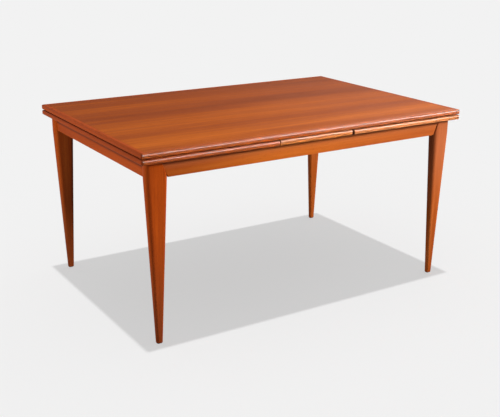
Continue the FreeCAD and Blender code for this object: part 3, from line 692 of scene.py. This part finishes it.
class LEAFTABLE_OT_frame(bpy.types.Operator):
    """Finish the legs and aprons"""

    bl_idname = "leaf_table.frame"
    bl_label = "Legs and aprons"

    def execute(self, context):
        colours = context.scene.leaf_table_wood
        painted_shade_brown, painted_light_pink = tuple(colours.painted_shade_brown), tuple(colours.painted_light_pink)
        # Each leg with the height where its painted shade towards the floor starts, and that shade's share
        feet = (
            ("front_left", 0.5, 0.6),
            ("front_right", 0.5, 0.1),
            ("back_left", 0.85, 0.65),
            ("back_right", 0.5, 0.05),
        )
        for seed, (corner, start, painted_shade) in enumerate(feet, 41):
            name = f"leg_{corner}"
            tints = [("Z", start, -0.05, painted_shade, shade(painted_shade_brown, 0.8))]
            if corner.endswith("right"):
                # Painted light: the right legs paler pink higher up
                tints.append(("Z", 0.25, 0.62, 0.45, painted_light_pink))
            if corner == "front_right":
                # Painted shade: the inner face of the front right leg, which lies under the table, darkened
                face = RIGHT_LEG_INNER_FACE
                dark = shade(tuple(colours.leg_dark), 0.5)
                tints.append(("X", face + 30 * MM, face + 9 * MM, 0.6, dark))
            kind = "leg" if corner.endswith("left") else "pale_leg"
            dress(name, wood(f"{name}_teak", kind, "Z", seed, figure=0.9, streaks=0.8, tints=tints))
        # Painted shade and painted light on the long aprons: darker towards the left end, paler pink towards
        # the right and in a band high up, and a painted shadow under the overhanging leaves at the top
        long_tints = (
            ("X", -0.05, -0.66, 0.6, shade(tuple(colours.leg_dark), 0.8)),
            ("X", -0.2, 0.6, 0.15, painted_light_pink),
            ("Z", APRON_TOP - 41.5 * MM, APRON_TOP - 11.5 * MM, 0.25, painted_light_pink),
            ("Z", APRON_TOP - 24.5 * MM, APRON_TOP - 4.5 * MM, 0.5, painted_shade_brown),
        )
        # Painted shadow under the overhanging leaves at the top of the end aprons
        end_tints = (("Z", APRON_TOP - 32.5 * MM, APRON_TOP - 19.5 * MM, 0.85, shade(painted_shade_brown, 0.6)),)
        aprons = (
            ("front_apron", "honey", "X", long_tints),
            ("back_apron", "honey", "X", long_tints),
            ("left_end_apron", "leg", "Y", end_tints),
            ("right_end_apron", "leg", "Y", end_tints),
        )
        for seed, (name, kind, grain, tints) in enumerate(aprons, 51):
            teak = wood(f"{name}_teak", kind, grain, seed, figure=0.8, streaks=0.6, rough=0.42, tints=tints)
            dress(name, teak)
        return {"FINISHED"}


class LEAFTABLE_OT_underframe(bpy.types.Operator):
    """Finish the beech rails, runners and corner blocks"""

    bl_idname = "leaf_table.underframe"
    bl_label = "Rails, runners and blocks"

    def execute(self, context):
        calm = {"figure": 0.5, "streaks": 0.5, "rough": 0.55, "shine": 0.3}
        for seed, side in ((61, "left"), (71, "right")):
            dress(f"{side}_rail", wood(f"{side}_rail_beech", "beech", "Y", seed, **calm))
            for step, place in enumerate(("front", "back"), 1):
                name = f"{side}_leaf_{place}_runner"
                dress(name, wood(f"{name}_beech", "beech", "X", seed + step, **calm))
                block = f"corner_block_{place}_{side}"
                dress(block, wood(f"{block}_beech", "beech", "X", seed + step + 4, **calm))
        return {"FINISHED"}


# ---------------------------------------------------------------- fastenings, pegs and felt


def steel_finish(name, colour, roughness):
    """Zinc plated steel, a little dulled and scratched."""
    material = new_material(name)
    s = Shader(material)
    here = s.place()
    cloud = s.noise(here, (220, 220, 220), 3.0)
    scratch = s.noise(here, (90, 2600, 900), 2.0)
    tint = s.ramp(cloud, [(0.3, shade(colour, 0.72)), (0.7, shade(colour, 1.12))])
    s.surface(
        {"Metallic": 1.0},
        {
            "Base Color": tint,
            "Roughness": roughness + (cloud - 0.5) * 0.25 + (scratch - 0.5) * 0.15,
            "Normal": s.bump(scratch, 0.02 * MM, 0.3),
        },
    )
    return material


def felt_finish(colour):
    """Matted brown felt."""
    material = new_material("brown_felt")
    s = Shader(material)
    here = s.place()
    fluff = s.noise(here, (900, 900, 900), 4.0, 0.7)
    cloud = s.noise(here, (40, 40, 40), 2.0)
    tint = s.ramp(fluff * 0.7 + cloud * 0.3, [(0.3, shade(colour, 0.6)), (0.7, shade(colour, 1.35))])
    s.surface(
        {"Specular IOR Level": 0.1, "Sheen Weight": 0.3},
        {
            "Base Color": tint,
            "Roughness": 0.9 + (cloud - 0.5) * 0.1,
            "Normal": s.bump(fluff, 0.3 * MM, 0.8),
        },
    )
    return material


SCREW_SIDES = 16
NUT_SIDES = 24
ROUND_SIDES = 32
BOLT_SIDES = 20
MACHINE_PITCH = 1.25 * MM
WOOD_PITCH = 2.4 * MM


def screw_piece(maker, length, head_radius, fastenings):
    """A countersunk wood screw with a cross recess, its head at the origin and its point up +Z."""
    core = head_radius / 2
    head_height = head_radius * 0.6
    tip = core * 1.6
    rings = [(head_radius * 0.94, 0), (head_radius, head_radius * 0.06), (core, head_height)]
    pitch, depth = fastenings.thread_pitch, fastenings.thread_depth
    rings += thread(head_height + 2 * MM, length - tip, core, pitch, depth)
    rings += [(core * 0.8, length - tip), (core * 0.15, length)]
    circles = lathe(maker, rings, SCREW_SIDES)
    head = next(face for face in circles[0][0].link_faces if len(face.verts) == SCREW_SIDES)
    cross_recess(maker, head, fastenings.recess_width, fastenings.recess_depth)


def cross_recess(maker, head, width, depth):
    """Sinks a tapered cross into a flat round face that looks down -Z."""
    bmesh.ops.inset_individual(maker, faces=[head], thickness=width * 0.7)
    cut = [head, *head.edges, *head.verts]
    for across in (Vector((1, 0, 0)), Vector((0, 1, 0))):
        for side in (-1, 1):
            place = across * side * width / 2
            cut = bmesh.ops.bisect_plane(maker, geom=cut, dist=1e-7, plane_co=place, plane_no=across)["geom"]
    faces = [part for part in cut if isinstance(part, bmesh.types.BMFace)]
    cross = []
    for face in faces:
        middle = face.calc_center_median()
        if min(abs(middle.x), abs(middle.y)) < width / 2:
            cross.append(face)
    pushed = bmesh.ops.extrude_face_region(maker, geom=cross)["geom"]
    points = [part for part in pushed if isinstance(part, bmesh.types.BMVert)]
    bmesh.ops.scale(maker, vec=(0.6, 0.6, 1), verts=points)
    bmesh.ops.translate(maker, vec=(0, 0, depth), verts=points)


def nut_piece(maker, length, corner_radius, bore):
    """A hexagon nut with turned corners and a chamfered bore, from the origin up +Z."""
    flats = corner_radius * math.sqrt(3) / 2
    face = flats * 0.95
    turned = flats * 0.12
    rings = [
        (bore * 1.12, 0), (face, 0), (flats, turned), (flats, length - turned), (face, length),
        (bore * 1.12, length), (bore, length - 0.8 * MM), (bore, 0.8 * MM),
    ]

    def hexagon(index, number):
        """The factor that pushes a circle's points out to the hexagon's sides."""
        if number not in (2, 3):
            return 1.0
        angle = math.radians((index * 360 / NUT_SIDES) % 60 - 30)
        return 1 / math.cos(angle)

    lathe(maker, rings, NUT_SIDES, closed=True, outline=hexagon)


def washer_piece(maker, length, radius, bore):
    """A flat washer with rounded rims, from the origin up +Z."""
    rim = 0.3 * MM
    lathe(
        maker,
        [
            (bore, rim), (bore + rim, 0), (radius - rim, 0), (radius, rim),
            (radius, length - rim), (radius - rim, length), (bore + rim, length), (bore, length - rim),
        ],
        ROUND_SIDES,
        closed=True,
    )


def bolt_piece(maker, length, radius, fastenings):
    """A hanger bolt: a machine thread at the origin, a plain waist, and a wood thread with a point."""
    depth = fastenings.thread_depth * 1.4
    waist = length * 0.5
    rings = [(radius * 0.8, 0), (radius, 0.8 * MM)]
    rings += thread(1 * MM, waist, radius, MACHINE_PITCH, depth)
    rings += [(radius, waist + 1 * MM), (radius, waist + 6 * MM)]
    rings += thread(waist + 7 * MM, length - 5 * MM, radius, WOOD_PITCH, depth * 1.6)
    rings += [(radius * 0.6, length - 4 * MM), (radius * 0.1, length)]
    lathe(maker, rings, BOLT_SIDES)


def peg_piece(maker, length, radius, flutes):
    """A dowel with chamfered ends, fluted along its length where flutes is more than 0."""
    chamfer = radius * 0.2
    rings = [(radius - chamfer, 0), (radius, chamfer), (radius, length - chamfer), (radius - chamfer, length)]
    lathe(maker, rings, ROUND_SIDES, outline=lambda index, number: 1.0 - flutes * (index % 2))


def rod_group(node, body, material, make_one):
    """Replaces a node of round solids by detailed ones, all in one piece."""
    maker = bmesh.new()
    for matrix, length, radius in rods(node):
        one = bmesh.new()
        make_one(one, length, radius)
        one.transform(matrix)
        mesh = bpy.data.meshes.new("one")
        one.to_mesh(mesh)
        one.free()
        maker.from_mesh(mesh)
        bpy.data.meshes.remove(mesh)
    finished(f"{node}_detail", maker, material, body, node)


class LEAFTABLE_OT_fastenings(bpy.types.Operator):
    """Make the bolts, nuts, washers and wood screws"""

    bl_idname = "leaf_table.fastenings"
    bl_label = "Bolts and screws"

    def execute(self, context):
        sizes = context.scene.leaf_table_fastenings
        zinc = steel_finish("zinc_plated_steel", tuple(sizes.steel), 0.34)
        bore = rods("corner_bolts")[0][2]

        def screw(maker, length, radius):
            screw_piece(maker, length, radius, sizes)

        def bolt(maker, length, radius):
            bolt_piece(maker, length, radius, sizes)

        def nut(maker, length, radius):
            nut_piece(maker, length, radius, bore)

        def washer(maker, length, radius):
            washer_piece(maker, length, radius, bore * 1.1)

        for node, body, make_one in (
            ("corner_block_screws", "frame", screw),
            ("centre_board_screws", "frame", screw),
            ("left_leaf_runner_screws", "left_leaf", screw),
            ("right_leaf_runner_screws", "right_leaf", screw),
            ("corner_bolts", "frame", bolt),
            ("corner_nuts", "frame", nut),
            ("corner_washers", "frame", washer),
        ):
            rod_group(node, body, zinc, make_one)
        return {"FINISHED"}


class LEAFTABLE_OT_pegs(bpy.types.Operator):
    """Make the stop pegs in the runners and the guide dowels under the main top"""

    bl_idname = "leaf_table.pegs"
    bl_label = "Stop pegs and guide dowels"

    def execute(self, context):
        beech = wood("peg_beech", "beech", "Y", 81, figure=0.5, streaks=0.6, rough=0.5)
        for side in ("left", "right"):
            rod_group(
                f"{side}_leaf_stop_pegs", f"{side}_leaf", beech,
                lambda maker, length, radius: peg_piece(maker, length, radius, 0.06),
            )
        turned = wood("dowel_beech", "beech", "Z", 82, figure=0.5, streaks=0.6, rough=0.45)
        rod_group(
            "guide_dowels", "main_top", turned,
            lambda maker, length, radius: peg_piece(maker, length, radius, 0.0),
        )
        return {"FINISHED"}


FELT_CUTS = 110
FELT_ROUNDING = 0.35 * MM
FUZZ_FREQUENCY = 130


class LEAFTABLE_OT_felt(bpy.types.Operator):
    """Make the felt strips that keep the main top off the leaves"""

    bl_idname = "leaf_table.felt"
    bl_label = "Felt strips"

    def execute(self, context):
        sizes = context.scene.leaf_table_fastenings
        felt = felt_finish(tuple(sizes.felt))
        for node, body in (("left_felt_strip", "top_felt"), ("right_felt_strip", "main_top")):
            low, high = (Vector(corner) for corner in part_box(node))
            maker = bmesh.new()
            bmesh.ops.create_cube(maker, size=1.0)
            bmesh.ops.scale(maker, vec=high - low, verts=maker.verts)
            bmesh.ops.translate(maker, vec=(low + high) / 2, verts=maker.verts)
            long_edges = [edge for edge in maker.edges if edge.calc_length() > (high - low).y * 0.9]
            bmesh.ops.subdivide_edges(maker, edges=long_edges, cuts=FELT_CUTS, use_grid_fill=True)
            bottom = low.z + 0.01 * MM
            sharp = [edge for edge in maker.edges if edge.calc_face_angle(0.0) > 1.0]
            rims = [edge for edge in sharp if all(point.co.z < bottom for point in edge.verts)]
            bmesh.ops.bevel(
                maker, geom=rims, offset=FELT_ROUNDING, offset_type="OFFSET", segments=2, profile=0.5,
                affect="EDGES", material=-1,
            )
            for point in maker.verts:
                wave = noise.noise(point.co * FUZZ_FREQUENCY) * sizes.felt_fuzz
                point.co.x += wave if point.co.x > (low.x + high.x) / 2 else -wave
            finished(f"{node}_detail", maker, felt, body, node)
        return {"FINISHED"}


# ---------------------------------------------------------------- studio

# Distances from the table's middle where the floor starts to turn into the backdrop, and ends
BACKDROP_START = 1.3
BACKDROP_END = 2.6
SENSOR_WIDTH = 36
GLINT_COLOUR = (0.8, 0.95, 1.0)
BOUNCE_COLOUR = (0.24, 0.24, 0.24)


class LEAFTABLE_OT_studio(bpy.types.Operator):
    """Set up the floor, the lamps and the camera"""

    bl_idname = "leaf_table.studio"
    bl_label = "Floor, lamps and camera"

    def execute(self, context):
        studio = context.scene.leaf_table_studio
        floor = self.make_floor(studio)
        self.make_world(context.scene, studio)
        self.make_lamps(context.scene, studio, floor)
        self.make_camera(context.scene, studio)
        context.scene.view_settings.view_transform = "Standard"
        return {"FINISHED"}

    def make_floor(self, studio):
        """A round pale floor that takes the table's shadow and turns into the backdrop further out."""
        maker = bmesh.new()
        bmesh.ops.create_circle(maker, cap_ends=True, segments=96, radius=studio.floor_radius)
        mesh = bpy.data.meshes.new("floor")
        maker.to_mesh(mesh)
        maker.free()
        floor = bpy.data.objects.new("floor", mesh)
        bpy.context.scene.collection.objects.link(floor)
        floor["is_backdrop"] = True
        material = new_material("pale_floor")
        s = Shader(material)
        camera_ray = s.node("ShaderNodeLightPath")
        x, y, _ = s.parts(s.place())
        distance = s.maths("SQRT", x * x + y * y)
        backdrop = s.smooth(distance, BACKDROP_START, BACKDROP_END) * 0.4 + 0.6
        seen = s.node("ShaderNodeBsdfDiffuse", None, {"Color": tuple(studio.background)})
        plain = s.node("ShaderNodeEmission", None, {"Color": tuple(studio.background), "Strength": 1.0})
        pale = s.node("ShaderNodeMixShader", None, {0: backdrop, 1: seen, 2: plain})
        bounce = s.node("ShaderNodeBsdfDiffuse", None, {"Color": BOUNCE_COLOUR})
        top_side = s.node("ShaderNodeMixShader", None, {0: camera_ray, 1: bounce, 2: pale})
        under = s.node("ShaderNodeBsdfTransparent")
        below = s.node("ShaderNodeNewGeometry", output="Backfacing")
        both = s.node("ShaderNodeMixShader", None, {0: below, 1: top_side, 2: under})
        s.node("ShaderNodeOutputMaterial", None, {"Surface": both})
        mesh.materials.append(material)
        return floor

    def make_world(self, scene, studio):
        """Low light from all round, brighter above and in two glows, and the backdrop's colour behind."""
        world = bpy.data.worlds.new("studio")
        scene.world = world
        s = Shader(world)
        towards = s.node("ShaderNodeTexCoord", output="Generated")
        up = s.parts(towards)[2]
        level = studio.sky_level + s.smooth(up, 0.35, 0.95) * (studio.sky_level * 2.5)
        for way, width, share in (((0.93, 0.3, 0.2), 0.72, 1.0), ((-0.3, 0.93, 0.2), 0.86, 0.7)):
            way = Vector(way).normalized()
            facing = s.node(
                "ShaderNodeVectorMath", {"operation": "DOT_PRODUCT"}, {0: towards, 1: way}, "Value"
            )
            level = level + s.smooth(facing, width, 1.0) * (studio.glow_level * share)
        lit = s.node("ShaderNodeBackground", None, {"Color": (1, 1, 1), "Strength": level})
        seen = s.node("ShaderNodeBackground", None, {"Color": tuple(studio.background), "Strength": 1.0})
        both = s.node("ShaderNodeMixShader", None, {0: s.node("ShaderNodeLightPath"), 1: lit, 2: seen})
        s.node("ShaderNodeOutputWorld", None, {"Surface": both})

    def make_lamps(self, scene, studio, floor):
        """Soft boxes for the table, and a lamp straight above that only the floor receives.

        The glossy boxes light the front edges alone, as they would show in the top from behind.
        """
        table = self.group("table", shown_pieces())
        fronts = [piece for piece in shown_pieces() if "front_lipping" in piece.name]
        edges = self.group("front_edges", fronts)
        glint = studio.glint_level
        # Name, place, target, size, level, what sees it, and the spread of its light in degrees
        boxes = (
            ("key_box", (3.65, -3.8, 2.6), (-0.25, -0.2, 0.75), (1.2, 1.2), studio.key_level, "diffuse", 60),
            ("top_box", (1.7, -1.3, 3.2), (0.1, -0.1, 0.7), (1.3, 1.3), studio.top_level, "both", 180),
            ("glint_box", (2.02, -3.3, 1.55), (0.0, -0.5, 0.7), (3.0, 1.0), glint, "glossy", 180),
            ("corner_box", (-2.5, -1.15, 2.55), (-0.73, -0.48, 0.73), (0.7, 0.7), glint, "glossy", 180),
            ("fill_box", (-2.3, 0.1, 0.9), (-0.7, 0.0, 0.5), (1.0, 1.0), studio.fill_level, "diffuse", 180),
            ("back_box", (1.2, 2.8, 3.4), (0.0, 0.2, 0.6), (1.5, 1.5), studio.back_level, "diffuse", 180),
        )
        for name, place, target, size, level, seen_by, spread in boxes:
            light = bpy.data.lights.new(name, "AREA")
            light.shape = "RECTANGLE"
            light.size, light.size_y = size
            reach = Vector(target) - Vector(place)
            light.energy = level * math.pi * math.pi * reach.length_squared
            light.spread = math.radians(spread)
            turn = reach.to_track_quat("-Z", "Y").to_matrix().to_4x4()
            box = bpy.data.objects.new(name, light)
            box.matrix_world = Matrix.Translation(place) @ turn
            scene.collection.objects.link(box)
            box.light_linking.receiver_collection = table
            box.visible_diffuse = seen_by != "glossy"
            box.visible_glossy = seen_by != "diffuse"
            if seen_by == "glossy":
                light.color = GLINT_COLOUR
                box.light_linking.receiver_collection = edges
        overhead = bpy.data.lights.new("overhead", "SUN")
        overhead.energy = studio.shadow_level * math.pi
        overhead.angle = math.radians(1.5)
        lamp = bpy.data.objects.new("overhead", overhead)
        scene.collection.objects.link(lamp)
        lamp.light_linking.receiver_collection = self.group("floor_only", [floor])

    def group(self, name, members):
        """A collection for light linking."""
        made = bpy.data.collections.new(name)
        for member in members:
            made.objects.link(member)
        return made

    def make_camera(self, scene, studio):
        """A camera at its place, turned by yaw, then pitch, then roll."""
        yaw, pitch, roll = studio.camera_yaw, studio.camera_pitch, studio.camera_roll
        ahead = Vector(
            (math.cos(pitch) * math.sin(yaw), math.cos(pitch) * math.cos(yaw), math.sin(pitch))
        )
        right = Vector((math.cos(yaw), -math.sin(yaw), 0))
        up = right.cross(ahead)
        leaned_right = right * math.cos(roll) + up * math.sin(roll)
        leaned_up = up * math.cos(roll) - right * math.sin(roll)
        turn = Matrix((leaned_right, leaned_up, -ahead)).transposed()
        data = bpy.data.cameras.new("camera")
        data.sensor_width = SENSOR_WIDTH
        data.lens = studio.camera_lens
        data.clip_end = 100
        camera = bpy.data.objects.new("camera", data)
        camera.matrix_world = Matrix.Translation(studio.camera_place) @ turn.to_4x4()
        scene.collection.objects.link(camera)
        scene.camera = camera


# ---------------------------------------------------------------- add-on

OPERATORS = (
    LEAFTABLE_OT_main_top,
    LEAFTABLE_OT_leaves,
    LEAFTABLE_OT_frame,
    LEAFTABLE_OT_underframe,
    LEAFTABLE_OT_fastenings,
    LEAFTABLE_OT_pegs,
    LEAFTABLE_OT_felt,
    LEAFTABLE_OT_studio,
)


class LEAFTABLE_PT_panel(bpy.types.Panel):
    """Lists the table's pieces and settings"""

    bl_idname = "LEAFTABLE_PT_panel"
    bl_label = "Draw leaf table"
    bl_space_type = "VIEW_3D"
    bl_region_type = "UI"
    bl_category = "Leaf table"

    def draw(self, context):
        for operator in OPERATORS:
            self.layout.operator(operator.bl_idname)
        for group in (
            context.scene.leaf_table_wood,
            context.scene.leaf_table_fastenings,
            context.scene.leaf_table_studio,
        ):
            box = self.layout.box()
            for name in group.__annotations__:
                box.prop(group, name)


GROUPS = {
    "leaf_table_wood": LeafTableWood,
    "leaf_table_fastenings": LeafTableFastenings,
    "leaf_table_studio": LeafTableStudio,
}


def register():
    for kind in (*GROUPS.values(), *OPERATORS, LEAFTABLE_PT_panel):
        bpy.utils.register_class(kind)
    for name, kind in GROUPS.items():
        setattr(bpy.types.Scene, name, bpy.props.PointerProperty(type=kind))


def unregister():
    for name in GROUPS:
        delattr(bpy.types.Scene, name)
    for kind in (LEAFTABLE_PT_panel, *OPERATORS, *GROUPS.values()):
        bpy.utils.unregister_class(kind)


def main():
    register()
    for operator in OPERATORS:
        group, name = operator.bl_idname.split(".")
        getattr(getattr(bpy.ops, group), name)()


if __name__ == "__main__":
    main()
